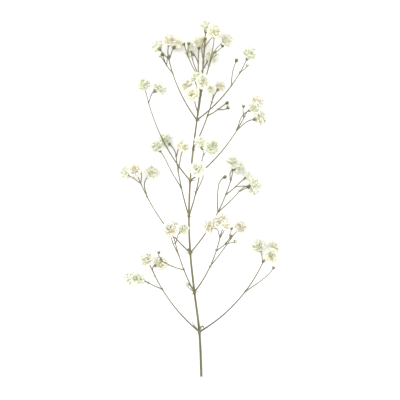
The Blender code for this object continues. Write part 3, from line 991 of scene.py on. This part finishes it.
def dressBuds(finish):
    look = budLook
    skin = Skin()
    draw = random.Random(growth["seed"] + 13)
    sides = look["sides"]
    angles = anglesRound(sides)
    length, radius = growth["budLength"], growth["budWidth"] / 2
    sepal = fromGap(angles, look["sepals"])
    seam = np.exp(-((sepal / look["seam"]) ** 2))
    topEdge = look["gap"] + look["point"] * sepal**0.8
    for shoot in buds:
        size = draw.uniform(0.86, 1.0)
        dried = draw.random() * 0.5
        opened = draw.uniform(-0.02, 0.10)
        rings, ways, tones = [], [], []
        for u in np.linspace(0.0, 1.0, look["rings"]):
            share = np.interp(u, *np.transpose(look["profile"]))
            petal = np.clip((u - topEdge + opened) / 0.04, 0.0, 1.0)
            form = 1.0 + (1.0 - petal) * (look["rib"] * sepal - look["groove"] * seam)
            form = form - petal * (look["step"] - look["petalFolds"] * np.cos(5 * angles + 7.0 * u))
            rings.append(roundAbout(angles, radius * size * share * form, (u - 1.0) * length))
            ways.append(roundAbout(angles, 1.0, u * 0.3))
            margin = 0.55 * seam * np.clip((u - 0.2) / 0.4, 0.0, 1.0)
            pale = np.maximum(margin, petal)
            tones.append(np.stack(np.broadcast_arrays(dried, 0.8 * (1.0 - u), pale), -1))
        ways = np.vstack([*ways, [(0, 0, 0), (0, 0, 0.3)]])
        tones = np.vstack([*tones, [(0, 0.8, 0), (0, 0, 1)]])
        ends = [(0, 0, -length), (0, 0, 0)]
        addRound(skin, rings, ends, axisFrame(shoot), tipOf(shoot), ways, tones, look["softness"])
    return skin.piece("buds", finish, "dried_stalk", "stalk")


def calyxMaterial(name, green, brown, margin):
    material, tree, shader = newMaterial(name, 0.6)
    way, _ = valueAt(tree, "way")
    _, tone = valueAt(tree, "tone")
    streak = placed(tree, fibres, Way=way, Across=4.0, Along=3.0, Contrast=1.5)
    patch = placed(tree, patches, Colour=green, Dried=brown, Amount=0.45, Sizemm=2.5)
    base = mixed(tree, worked(tree, "MULTIPLY", tone["X"], 0.8), patch["Colour"], brown)
    striped = mixed(tree, between(tree, streak["Streak"], 0.6, 0.3, 0.0, 0.4), base, brown)
    edged = mixed(tree, tone["Z"], striped, margin)
    dotted = placed(tree, grains, Colour=edged, Speck=brown, Share=0.35, Sizemm=0.16)
    tree.links.new(dotted["Colour"], shader.inputs["Base Color"])
    bumped(tree, shader, streak["Relief"], 0.05 * mm, 0.6)
    return material


dressCalyxes(calyxMaterial("calyxGreen", calyxLook["green"], calyxLook["brown"], calyxLook["margin"]))
dressBuds(calyxMaterial("budGreen", budLook["green"], calyxLook["brown"], budLook["tip"]))
print("calyxes and buds skinned")


# Bracts: a pair at each node of the stalk, and tiny ones at the forks of the branches

bractLook = {
    "length": 3.2 * mm,
    "halfWidth": 0.62 * mm,
    "smallLength": 1.5 * mm,
    "smallHalfWidth": 0.38 * mm,
    "thickness": 0.12 * mm,
    "widths": ((0.0, 0.9), (0.17, 1.0), (0.33, 0.92), (0.5, 0.74), (0.67, 0.5), (0.83, 0.24), (1.0, 0.04)),
    "lean": 68.0,
    "under": 0.45 * mm,  # how far under a fork of the stalk, and of a branch, the bracts stand
    "smallUnder": 0.2 * mm,
    "fromTip": 7.0 * mm,
    "smallLeans": (35.0, 60.0),
    # lowest and highest value of each bract's own form, drawn in this order
    "forms": {"length": (0.85, 1.1), "rise": (-0.1, 0.2), "bend": (0.1, 0.9), "cup": (0.3, 0.7),
              "twist": (-0.5, 0.5), "wavePhase": (0.0, 6.0)},
    "wave": 0.04 * mm,
    "waves": 2.0,
    "softness": 0.1 * mm,
    "along": np.linspace(0.0, 1.0, 8),
    "across": np.linspace(-1.0, 1.0, 5),
    "green": paint(112, 110, 80),
    "dry": paint(134, 120, 88),
}


def bladeAxes(heading, out):
    # Unit directions along a blade, across it and over its upper face
    out = out.normalized()
    across = heading.cross(out).normalized()
    return out, across, out.cross(across).normalized()


def dressBracts(finish):
    look = bractLook
    draw = random.Random(growth["seed"] + 14)
    rows = []
    for node, turn, _, _ in growth["branches"]:
        if node > 1:
            start, heading = stalk.at(stalk.forks[node - 1] - look["under"])
            rows.append((start, heading, leaning(heading, turn, look["lean"]), True, stalk.radius))
    for shoot in shoots[1:]:
        for fork in shoot.forks:
            if shoot.length() - fork > look["fromTip"]:
                start, heading = shoot.at(fork - look["smallUnder"])
                turn = draw.uniform(0.0, 180.0)
                for side in (0.0, 180.0):
                    out = leaning(heading, turn + side, draw.uniform(*look["smallLeans"]))
                    rows.append((start, heading, out, False, shoot.radiusAt(fork)))
    bracts = []
    for start, heading, direction, large, radius in rows:
        out, across, over = bladeAxes(heading, direction)
        bract = {key: draw.uniform(low, high) for key, (low, high) in look["forms"].items()}
        bract["length"] *= look["length"] if large else look["smallLength"]
        bract["halfWidth"] = look["halfWidth"] if large else look["smallHalfWidth"]
        bract["root"] = start + growth["cutEnd"] + out * (radius * 0.5)
        bract.update(out=out, across=-across, over=-over)
        bracts.append(bract)
    u, v = look["along"], look["across"]
    shape = {key: [bract[key] for bract in bracts] for key in bracts[0]}
    shape.update(wave=look["wave"], waves=look["waves"], widths=look["widths"])
    shape.update(roundTip=0.0, notch=0.0, fold=0.0, fray=np.zeros((len(rows), len(v))))
    points = onTable(shellPoints(blades(shape, u, v), look["thickness"]), look["softness"])
    ways = bladeWays(len(rows), u, v, np.arange(len(rows)) * 3.7)
    tones = np.zeros((len(rows), 1, 3))
    tones[:, 0, 0] = [draw.random() for _ in rows]
    skin = Skin()
    skin.addGrid(points, ways, tones, shellFaces(len(u) - 1, len(v) - 1))
    return skin.piece("bracts", finish, "dried_stalk", "stalk")


# Dried leaves at the lower nodes

leafLook = {
    # node, turn round the stalk, lean from it, length, width, curl: as the solids have them
    "leaves": ((1, 74, 38, 12.0, 1.9, 75), (1, 128, 50, 9.0, 1.7, -30),
               (2, 230, 40, 7.5, 1.5, 30), (3, 100, 40, 7.0, 1.4, 60)),
    "widths": (0.30, 0.55, 0.82, 0.97, 1.0, 0.96, 0.88, 0.76, 0.6, 0.42, 0.22, 0.04),
    "solidSteps": 7,
    "rows": 22,
    "columns": 8,
    "thickness": 0.16 * mm,
    "gap": 0.3 * mm,
    "nodeSwelling": 1.45,
    "keel": 0.55,
    "waviness": 0.22 * mm,
    "rooted": 0.8,  # how far from the stalk's middle the blade starts, in its radii
    "twist": 0.9,
    "softness": 0.12 * mm,
    "green": paint(106, 103, 73),
    "dry": paint(128, 114, 82),
    "edge": paint(72, 61, 44),
}


def dressLeaf(leaf, number, finish):
    look = leafLook
    node, turn, lean, length, width, curl = leaf
    start, heading = stalk.at(stalk.forks[node - 1])
    leavesAt = leaning(heading, turn, lean)
    clear = (stalk.radius * look["nodeSwelling"] + look["gap"]) / math.sin(math.radians(lean))
    aim = leaning(heading, turn, lean + curl)
    path = curved(start + leavesAt * clear, leavesAt, aim, length * mm, look["solidSteps"])
    path = [start + leavesAt * (stalk.radius * look["rooted"]), *path]
    spine = Shoot(path, look["thickness"], look["thickness"], 3, "leaf")
    across = np.array(heading.cross(leavesAt).normalized())
    places = np.linspace(0.0, spine.length(), look["rows"] + 1)
    middle = np.array([spine.smoothAt(d) + growth["cutEnd"] for d in places])
    ahead = np.gradient(middle, axis=0)
    over = np.cross(ahead, across)
    over /= np.linalg.norm(over, axis=1, keepdims=True)
    along = np.linspace(0.0, 1.0, look["rows"] + 1)
    sideways = np.linspace(-1.0, 1.0, look["columns"] + 1)
    u, v = along[:, None], sideways[None, :]
    share = np.interp(u, np.linspace(0, 1, len(look["widths"])), look["widths"])
    half = width * mm / 2 * share
    draw = random.Random(growth["seed"] + 20 + number)
    phase = draw.uniform(0.0, 6.0)
    twist = draw.uniform(-look["twist"], look["twist"]) * u**1.5
    fold = look["keel"] * half * (np.abs(v) - 0.5)
    fold = fold + look["waviness"] * share * np.sin(phase + 9.0 * u + 1.4 * v) * u * np.abs(v)
    side = v * half * np.cos(twist) - fold * np.sin(twist)
    lift = v * half * np.sin(twist) + fold * np.cos(twist)
    grid = middle[:, None, :] + side[..., None] * across + lift[..., None] * over[:, None, :]
    skin = Skin()
    points = onTable(shellPoints(grid[None], look["thickness"]), look["softness"])
    ways = bladeWays(1, along, sideways, [number * 2.3])
    skin.addGrid(points, ways, np.zeros((1, 1, 3)), shellFaces(look["rows"], look["columns"]))
    name = f"leaf_{number + 1}_blade"
    return skin.piece(name, finish, "dried_leaf", f"leaf_{number + 1}")


def bladeMaterial(name, green, dry, edge, dryness):
    material, tree, shader = newMaterial(name, 0.7)
    way, parts = valueAt(tree, "way")
    vein = placed(tree, fibres, Way=way, Across=4.5, Along=0.8, Contrast=1.6)
    patch = placed(tree, patches, Colour=green, Dried=dry, Amount=dryness, Sizemm=2.2)
    rim = worked(tree, "ABSOLUTE", parts["X"])
    edged = mixed(tree, between(tree, rim, 0.72, 1.0, 0.0, 0.6), patch["Colour"], edge)
    keel = mixed(tree, between(tree, rim, 0.16, 0.0, 0.0, 0.35), edged, dry)
    colour = mixed(tree, between(tree, vein["Streak"], 0.6, 0.3, 0.0, 0.35), keel, edge)
    tree.links.new(colour, shader.inputs["Base Color"])
    tree.links.new(between(tree, patch["Patch"], 0.0, 1.0, 0.62, 0.8), shader.inputs["Roughness"])
    bumped(tree, shader, vein["Relief"], 0.08 * mm, 0.6)
    return material


bractFinish = bladeMaterial("bractPaper", bractLook["green"], bractLook["dry"], leafLook["edge"], 0.6)
dressBracts(bractFinish)
leafFinish = bladeMaterial("driedLeaf", leafLook["green"], leafLook["dry"], leafLook["edge"], 0.55)
for number, leaf in enumerate(leafLook["leaves"]):
    dressLeaf(leaf, number, leafFinish)
print("bracts and leaves skinned")


# Flowers: thin crinkled petals in rings round a small core, over the wedges of each solid

bloomLook = {
    # the solid's own rings of petals, as shares of half the width: reach and height
    "rings": ((0.88, 0.20), (0.97, 0.74), (0.66, 1.32)),
    "sectors": (8, 7),
    "smallBloom": 8.0 * mm,
    "petalTurn": math.radians(3.0),
    "reachSpread": 0.06,
    "heightSpread": 0.08,
    # where the fine petals of each ring are rooted on the core, in the same shares
    "roots": ((0.20, 0.10), (0.20, 0.34), (0.14, 0.60)),
    "coreRings": ((-0.06, 0.15), (0.05, 0.21), (0.25, 0.21), (0.45, 0.17), (0.65, 0.12), (0.82, 0.05)),
    "coreEnds": (-0.08, 0.88),
    "coreSides": 10,
    "coreSoftness": 0.2 * mm,
    "styleRings": 8,
    "styleSides": 5,
    "styleHeights": (0.7, 1.55),
    "styleLeans": (0.10, 0.40),
    "styleTurn": 0.6,
    "styleRadius": 0.055 * mm,
    "along": (0.0, 0.42, 0.72, 0.90, 1.0),
    "across": (-1.0, -0.7, -0.26, 0.26, 0.7, 1.0),
    "widths": ((0.0, 0.22), (0.2, 0.26), (0.42, 0.5), (0.62, 0.84), (0.81, 1.0), (0.92, 0.97), (1.0, 0.80)),
    "halfWidth": 0.74 * mm,
    "thickness": 0.07 * mm,
    # the petals made for each wedge: turns in wedges, then what their own turn, reach and height may be
    "copies": (-0.38, -0.13, 0.13, 0.38),
    "copyTurn": 0.09,
    "copyReach": (0.95, 1.14),
    "copyHeight": 0.11,
    # the same for the one petal between a wedge's ring and the next, and for the tuft in the middle
    "betweenTurn": 0.15,
    "betweenReach": (0.94, 1.08),
    "betweenHeight": 0.08,
    "betweenRaised": 0.12,
    "tuft": 20,
    "tuftStep": 0.382,
    "tuftTurn": 0.05,
    "tuftReach": (0.06, 0.46),
    "tuftHeight": (1.18, 1.54),
    "tuftRoot": (0.05, 0.66),
    "tuftBreadth": 0.74,
    "arching": (0.15, 1.15),  # bend of a petal that arches out, and of one that curls in
    "curling": (0.3, 1.1),
    "curled": (0.16, 0.3),  # share that curls in, and how much more of the tuft does
    # lowest and highest value of each petal's own form, drawn in this order
    "forms": {"halfWidth": (0.78, 1.12), "roundTip": (0.10, 0.24), "notch": (-0.02, 0.08),
              "fray": (-0.02, 0.02), "cup": (-0.2, 0.7), "fold": (-0.2, 1.0), "wave": (0.06, 0.30),
              "waves": (1.6, 3.6), "wavePhase": (0.0, 6.28), "twist": (-0.7, 0.7)},
    "fullHalf": 4.7 * mm,
    "softness": 0.45 * mm,
    "full": 0.96,
    "limit": 1.12,
    # share of the flowers, and how cream, greenish and pinkish they dried, the ivory ones first
    "casts": ((0.5, (0.06, 0.06, 0.04)), (0.2, (0.85, 0.05, 0.1)),
              (0.2, (0.3, 0.6, 0.0)), (0.1, (0.35, 0.0, 0.6))),
    "uneven": (-0.08, 0.16),
    "greenTuft": (0.4, 1.1),  # how green a tuft can be, in a plain flower and in a speckled one
    "ivory": paint(213, 214, 204),
    "cream": paint(216, 213, 194),
    "greenish": paint(202, 209, 194),
    "pinkish": paint(215, 208, 199),
    # the petals' base: the claw's own yellow tint, painted lighter than the rest of the petal as painted
    # light against the shade in the flower's middle
    "claw": paint(227, 227, 198),
    "speck": paint(146, 156, 98),
    "brownEdge": paint(192, 172, 134),
}


def solidPetals(shoot, draw):
    # Angle, reach and height of each wedge of the solid, then the turn of the whole flower
    look = bloomLook
    half = shoot.width / 2
    sectors = look["sectors"][1 if shoot.width < look["smallBloom"] else 0]
    sector = 2.0 * math.pi / sectors
    petals = []
    for j, (reachShare, heightShare) in enumerate(look["rings"]):
        for k in range(sectors):
            angle = sector * (k + 0.75 + 0.5 * j) + look["petalTurn"] * eitherWay(draw)
            reach = half * reachShare * (1.0 + look["reachSpread"] * eitherWay(draw))
            height = half * (heightShare + look["heightSpread"] * eitherWay(draw))
            eitherWay(draw)
            petals.append((j, angle, reach, height, sector))
    return petals, 2.0 * math.pi * draw.random()


def within(rng, most):
    return rng.uniform(-most, most)


def finePetals(shoot, wedges, rng):
    # Angle, root, tip, breadth and how far in each thin petal is, with z along the flower's heading
    look = bloomLook
    half = shoot.width / 2
    rows = []
    for j, angle, reach, height, sector in wedges:
        rootReach, rootHeight = (half * share for share in look["roots"][j])
        for copy in look["copies"]:
            a = angle + sector * (copy + within(rng, look["copyTurn"]))
            r = reach * rng.uniform(*look["copyReach"])
            h = height + half * within(rng, look["copyHeight"])
            rows.append((a, rootReach, rootHeight, r, h, 1.0, j / 3))
        if j < 2:
            nextReach, nextHeight = look["rings"][j + 1]
            a = angle + sector * within(rng, look["betweenTurn"])
            r = (reach + half * nextReach) / 2 * rng.uniform(*look["betweenReach"])
            h = (height + half * nextHeight) / 2 + half * within(rng, look["betweenHeight"])
            rows.append((a, rootReach, rootHeight + look["betweenRaised"] * half, r, h, 1.0, (j + 0.5) / 3))
    rootReach, rootHeight = (half * share for share in look["tuftRoot"])
    for k in range(look["tuft"]):
        a = 2.0 * math.pi * (k * look["tuftStep"] + within(rng, look["tuftTurn"]))
        r = half * rng.uniform(*look["tuftReach"])
        h = half * rng.uniform(*look["tuftHeight"])
        rows.append((a, rootReach, rootHeight, r, h, look["tuftBreadth"], 1.0))
    return np.array(rows)


def castOf(value):
    # The tones of the flower that a value from 0 to 1 picks
    for share, tones in bloomLook["casts"]:
        if value < share:
            return tones
        value -= share
    return bloomLook["casts"][0][1]


def dressBloom(shoot, number, draw, finish):
    look = bloomLook
    rng = np.random.RandomState(growth["seed"] * 100 + number)
    half = shoot.width / 2
    scale = half / look["fullHalf"]
    wedges, turn = solidPetals(shoot, draw)
    a, rootReach, rootHeight, reach, height, breadth, inward = finePetals(shoot, wedges, rng).T
    many = len(a)
    chord = np.hypot(reach - rootReach, height - rootHeight)
    slope = np.arctan2(height - rootHeight, reach - rootReach)
    inTuft = inward > 0.9
    bend = -rng.uniform(*look["arching"], many) * (1.0 - 0.45 * inward)
    curledIn = rng.uniform(size=many) < look["curled"][0] + look["curled"][1] * inTuft
    bend = np.where(curledIn, rng.uniform(*look["curling"], many), bend)
    length = chord * (bend / 2) / np.sin(bend / 2)
    shape = {}
    for key, (low, high) in look["forms"].items():
        shape[key] = rng.uniform(low, high, (many, len(look["across"])) if key == "fray" else many)
    shape["halfWidth"] *= look["halfWidth"] * scale * breadth
    shape["fold"] *= 0.6 + 0.6 * inward
    shape["wave"] = shape["wave"] * mm * scale
    shape.update(rise=slope - bend / 2, bend=bend, length=length, widths=look["widths"])
    shape["out"] = roundAbout(a, 1.0, 0.0)
    shape["across"] = roundAbout(a + math.pi / 2, 1.0, 0.0)
    shape["over"] = roundAbout(a, 0.0, 1.0)
    shape["root"] = roundAbout(a, rootReach, rootHeight)
    grid = blades(shape, look["along"], look["across"])
    centre = np.array([0.0, 0.0, half * growth["bloomCentre"]])
    # Petals that reach past the flower's ball are drawn in softly, so neighbours stay clear
    away = grid - centre
    far = np.linalg.norm(away, axis=-1, keepdims=True) / half
    full, soft = look["full"], look["limit"] - look["full"]
    held = np.where(far > full, full + soft * np.tanh((far - full) / soft), far)
    grid = centre + away * held / np.maximum(far, 1e-6)
    points = shellPoints(grid, look["thickness"])

    tones = castOf(rng.uniform()) + rng.uniform(*look["uneven"], (many, 1, 3))
    greenest = look["greenTuft"][1 if rng.uniform() < 0.5 else 0]
    tones[:, 0, 1] += np.where(inTuft, rng.uniform(0.0, greenest, many), 0.0)
    tones = np.clip(tones, 0.0, 1.0)

    basis = axisFrame(shoot) @ np.array(Matrix.Rotation(turn, 3, "Z"))
    tip = tipOf(shoot)
    skin = Skin()
    points = onTable(points @ basis.T + tip, look["softness"])
    ways = bladeWays(many, look["along"], look["across"], rng.uniform(0.0, 40.0, many))
    skin.addGrid(points, ways, tones, shellFaces(len(look["along"]) - 1, len(look["across"]) - 1))
    addCore(skin, half, basis, tip, rng)
    addStyles(skin, half, basis, tip, number, rng)
    return skin.piece(f"flower_{number:02d}", finish, "ivory_petals", f"bloom_{number:02d}")


def addCore(skin, half, basis, tip, rng):
    # The small lumpy core that the petals stand on
    look = bloomLook
    angles = anglesRound(look["coreSides"])
    rings = []
    for height, radius in look["coreRings"]:
        lumpy = half * radius * rng.uniform(0.85, 1.15, look["coreSides"])
        rings.append(roundAbout(angles, lumpy, half * height))
    ends = [(0, 0, half * height) for height in look["coreEnds"]]
    # The core takes the petals' lighter base colour, painted light in the flower's shaded middle
    addRound(skin, rings, ends, basis, tip, (0.0, 0.1, 0.0), (0.1, 0.6, 0.0), look["coreSoftness"])


def addStyles(skin, half, basis, tip, number, rng):
    # The two thread-like styles that curl out of the flower's middle
    look = bloomLook
    t = np.linspace(0.0, 1.0, look["styleRings"])
    low, high = look["styleHeights"]
    for side in (0.0, math.pi):
        turn = side + within(rng, look["styleTurn"])
        away = half * rng.uniform(*look["styleLeans"]) * t**1.8
        path = roundAbout(turn, away, half * (low + (high - low) * t))
        radii = look["styleRadius"] * (1.1 - 0.5 * t)
        tones = np.tile((0.4, 0.2, 0.0), (len(t), 1))
        addTube(skin, path @ basis.T + tip, radii, look["styleSides"], t * half, tones)
        skin.ways[-1] = np.broadcast_to((0.0, 0.7, number), skin.ways[-1].shape)


def petalMaterial():
    look = bloomLook
    material, tree, shader = newMaterial("ivoryPetals", 0.78)
    way, parts = valueAt(tree, "way")
    _, tone = valueAt(tree, "tone")
    vein = placed(tree, fibres, Way=way, Across=2.6, Along=1.1, Contrast=1.2)
    cream = mixed(tree, tone["X"], look["ivory"], look["cream"])
    green = mixed(tree, tone["Y"], cream, look["greenish"])
    pink = mixed(tree, tone["Z"], green, look["pinkish"])
    # Painted light: each petal is painted lighter and yellower towards its base, where the flower's middle
    # lies in shade; the yellow is the claw's own
    claw = mixed(tree, between(tree, parts["Y"], 0.66, 0.12, 0.0, 0.85), pink, look["claw"])
    greenTips = between(tree, tone["Y"], 0.72, 1.0)
    specks = worked(tree, "MULTIPLY", greenTips, between(tree, parts["Y"], 0.55, 0.95))
    speckled = mixed(tree, worked(tree, "MULTIPLY", specks, 0.85), claw, look["speck"])
    veined = mixed(tree, between(tree, vein["Streak"], 0.55, 0.2, 0.0, 0.4), speckled, look["claw"])
    old = placed(tree, patches, Colour=veined, Dried=look["brownEdge"], Amount=0.28, Sizemm=1.6)
    edge = worked(tree, "MULTIPLY", between(tree, parts["Y"], 0.75, 1.0), 0.65)
    worn = mixed(tree, edge, veined, old["Colour"])
    tree.links.new(worn, shader.inputs["Base Color"])
    tree.links.new(between(tree, vein["Streak"], 0.2, 0.8, 0.85, 0.7), shader.inputs["Roughness"])
    shader.subsurface_method = "BURLEY"  # thin petals let light through without dark seams
    shader.inputs["Subsurface Weight"].default_value = 0.7
    shader.inputs["Subsurface Radius"].default_value = (1.0, 1.0, 1.0)
    shader.inputs["Subsurface Scale"].default_value = 0.6 * mm
    bumped(tree, shader, vein["Relief"], 0.05 * mm, 0.7)
    return material


petalFinish = petalMaterial()
bloomDraw = random.Random(growth["seed"] + 1)
for number, shoot in enumerate(blooms, 1):
    dressBloom(shoot, number, bloomDraw, petalFinish)
print(len(blooms), "flowers dressed")


# Table, light and camera

studio = {
    "table": 4.0,
    "tableColour": paint(244, 244, 243),
    "tableGrain": paint(237, 237, 236),
    "around": 1.06,
    "lamps": (
        # name, place, size, power, aims at the middle of the stem
        ("overheadSoftbox", (-0.25, 0.20, 1.35), 1.3, 14.5),
        ("windowSide", (-1.1, 0.5, 0.7), 0.9, 4.6),
        ("fillSide", (1.0, -0.6, 0.8), 0.9, 2.2),
    ),
    "lens": 100.0,
    "frameWidth": 240.0 * mm,
    "focusHeight": 10.0 * mm,
}


def layTable():
    half = studio["table"] / 2
    mesh = bpy.data.meshes.new("tableTop")
    corners = [(-half, -half, 0), (half, -half, 0), (half, half, 0), (-half, half, 0)]
    mesh.from_pydata(corners, [], [(0, 1, 2, 3)])
    table = bpy.data.objects.new("tableTop", mesh)
    table.location.z = -0.02 * mm
    bpy.context.scene.collection.objects.link(table)
    material, tree, shader = newMaterial("palePaper", 0.9)
    pale, speck = studio["tableColour"], studio["tableGrain"]
    grain = placed(tree, grains, Colour=pale, Speck=speck, Share=0.5, Sizemm=0.8)
    tree.links.new(grain["Colour"], shader.inputs["Base Color"])
    bumped(tree, shader, grain["Relief"], 0.05 * mm, 0.15)
    mesh.materials.append(material)


def lightStudio():
    world = bpy.data.worlds.new("softWhite")
    bpy.context.scene.world = world
    world.use_nodes = True
    sky = world.node_tree.nodes["Background"]
    sky.inputs["Color"].default_value = (1.0, 1.0, 1.0, 1.0)
    sky.inputs["Strength"].default_value = studio["around"]
    for name, place, size, power in studio["lamps"]:
        lamp = bpy.data.lights.new(name, "AREA")
        lamp.shape = "SQUARE"
        lamp.size = size
        lamp.energy = power
        holder = bpy.data.objects.new(name, lamp)
        holder.location = place
        holder.rotation_euler = (-Vector(place)).to_track_quat("-Z", "Y").to_euler()
        bpy.context.scene.collection.objects.link(holder)


def setCamera():
    lens = bpy.data.cameras.new("overheadCamera")
    lens.lens = studio["lens"]
    lens.clip_start = 0.01
    camera = bpy.data.objects.new("overheadCamera", lens)
    away = studio["frameWidth"] * studio["lens"] / lens.sensor_width
    camera.location = (0.0, 0.0, studio["focusHeight"] + away)
    bpy.context.scene.collection.objects.link(camera)
    bpy.context.scene.camera = camera
    bpy.context.scene.view_settings.view_transform = "Standard"


layTable()
lightStudio()
setCamera()
print("table, lamps and camera set")
